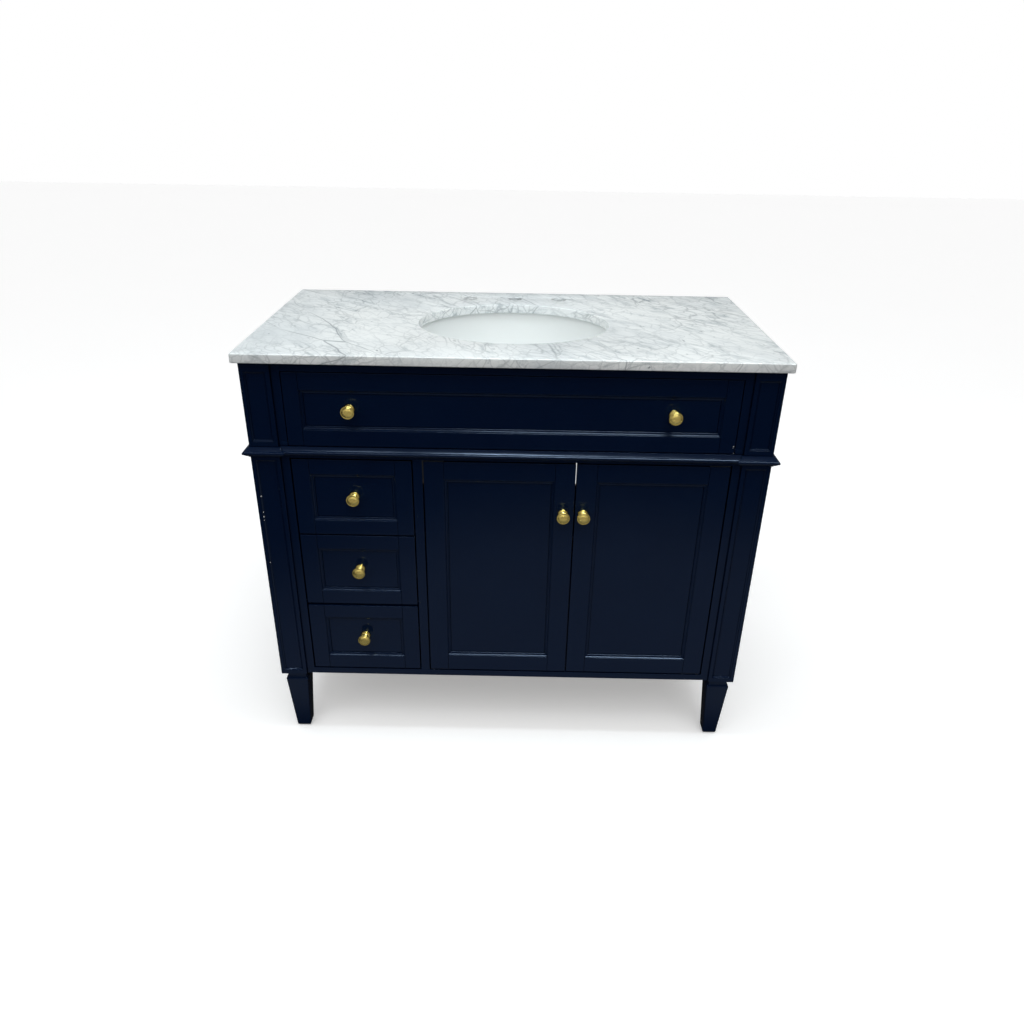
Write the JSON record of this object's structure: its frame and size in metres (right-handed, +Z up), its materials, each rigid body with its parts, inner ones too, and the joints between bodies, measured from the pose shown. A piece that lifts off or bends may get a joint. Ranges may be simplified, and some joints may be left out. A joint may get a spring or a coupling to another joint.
{
  "type": "bathroom vanity cabinet",
  "caption": "Freestanding painted vanity cabinet with tapered feet, inset doors and drawers, a tip-out front, and a stone top with an undermount oval basin.",
  "frame": {"origin": "on the floor, under the middle of the overall box, which the stone top and the door knobs bound from wall to front", "axes": "+X to the right when facing the front, +Y towards the wall, +Z up"},
  "size_m": [1.022, 0.55, 0.889],
  "materials": {
    "navy_paint": "satin dark navy paint on wood",
    "marble": "polished white marble with grey veins",
    "vitreous_china": "glossy white glaze",
    "satin_brass": "satin",
    "zinc_steel": "zinc-plated",
    "birch_plywood": "clear-sealed birch plywood",
    "black_plastic": "matte",
    "white_plastic": "matte"
  },
  "bodies": {
    "cabinet": {"countertop": "marble", "basin": "vitreous_china", "basin_clips": "zinc_steel", "front_left_post": "navy_paint", "front_right_post": "navy_paint", "rear_left_post": "navy_paint", "rear_right_post": "navy_paint", "front_left_foot": "navy_paint", "front_right_foot": "navy_paint", "rear_left_foot": "navy_paint", "rear_right_foot": "navy_paint", "foot_glides": "black_plastic", "top_rail": "navy_paint", "waist_rail": "navy_paint", "bottom_rail": "navy_paint", "left_stile": "navy_paint", "right_stile": "navy_paint", "center_stile": "navy_paint", "waist_molding_front": "navy_paint", "waist_molding_left": "navy_paint", "waist_molding_right": "navy_paint", "left_side": "navy_paint", "right_side": "navy_paint", "floor_panel": "birch_plywood", "drawer_liner": "birch_plywood", "divider_panel": "birch_plywood", "back_panel": "birch_plywood", "back_rails": "birch_plywood", "corner_blocks": "birch_plywood", "drawer_slides_outer": "zinc_steel", "door_catch": "white_plastic", "pivot_bushings": "zinc_steel"},
    "upper_drawer": {"upper_drawer_front": "navy_paint", "upper_drawer_box": "birch_plywood", "upper_drawer_knob": "satin_brass", "upper_drawer_slides_inner": "zinc_steel"},
    "upper_slide_members": {"upper_drawer_slides_middle": "zinc_steel"},
    "middle_drawer": {"middle_drawer_front": "navy_paint", "middle_drawer_box": "birch_plywood", "middle_drawer_knob": "satin_brass", "middle_drawer_slides_inner": "zinc_steel"},
    "middle_slide_members": {"middle_drawer_slides_middle": "zinc_steel"},
    "lower_drawer": {"lower_drawer_front": "navy_paint", "lower_drawer_box": "birch_plywood", "lower_drawer_knob": "satin_brass", "lower_drawer_slides_inner": "zinc_steel"},
    "lower_slide_members": {"lower_drawer_slides_middle": "zinc_steel"},
    "tipout": {"tipout_frame": "navy_paint", "tipout_panel": "navy_paint", "tipout_knobs": "satin_brass", "tipout_tray": "white_plastic", "tipout_pivots": "zinc_steel"},
    "left_door": {"left_door_frame": "navy_paint", "left_door_panel": "navy_paint", "left_door_knob": "satin_brass", "left_door_pivots": "zinc_steel"},
    "right_door": {"right_door_frame": "navy_paint", "right_door_panel": "navy_paint", "right_door_knob": "satin_brass", "right_door_pivots": "zinc_steel"}
  },
  "joints": [
    {"name": "upper_drawer_slide", "type": "slide", "parent": "cabinet", "child": "upper_drawer", "axis": [0, -1, 0], "range_m": [0, 0.35]},
    {"name": "upper_member_slide", "type": "slide", "parent": "cabinet", "child": "upper_slide_members", "axis": [0, -1, 0], "range_m": [0, 0.175]},
    {"name": "middle_drawer_slide", "type": "slide", "parent": "cabinet", "child": "middle_drawer", "axis": [0, -1, 0], "range_m": [0, 0.35]},
    {"name": "middle_member_slide", "type": "slide", "parent": "cabinet", "child": "middle_slide_members", "axis": [0, -1, 0], "range_m": [0, 0.175]},
    {"name": "lower_drawer_slide", "type": "slide", "parent": "cabinet", "child": "lower_drawer", "axis": [0, -1, 0], "range_m": [0, 0.35]},
    {"name": "lower_member_slide", "type": "slide", "parent": "cabinet", "child": "lower_slide_members", "axis": [0, -1, 0], "range_m": [0, 0.175]},
    {"name": "tipout_hinge", "type": "hinge", "parent": "cabinet", "child": "tipout", "pos_m": [0, -0.2455, 0.7115], "axis": [1, 0, 0], "range_deg": [0, 35]},
    {"name": "left_door_hinge", "type": "hinge", "parent": "cabinet", "child": "left_door", "pos_m": [-0.1625, -0.2455, 0.43], "axis": [0, 0, -1], "range_deg": [0, 85]},
    {"name": "right_door_hinge", "type": "hinge", "parent": "cabinet", "child": "right_door", "pos_m": [0.4175, -0.2455, 0.43], "axis": [0, 0, 1], "range_deg": [0, 105]}
  ],
  "couplings": [
    {"joint": "upper_member_slide", "follows": "upper_drawer_slide", "ratio": 0.5},
    {"joint": "middle_member_slide", "follows": "middle_drawer_slide", "ratio": 0.5},
    {"joint": "lower_member_slide", "follows": "lower_drawer_slide", "ratio": 0.5}
  ]
}
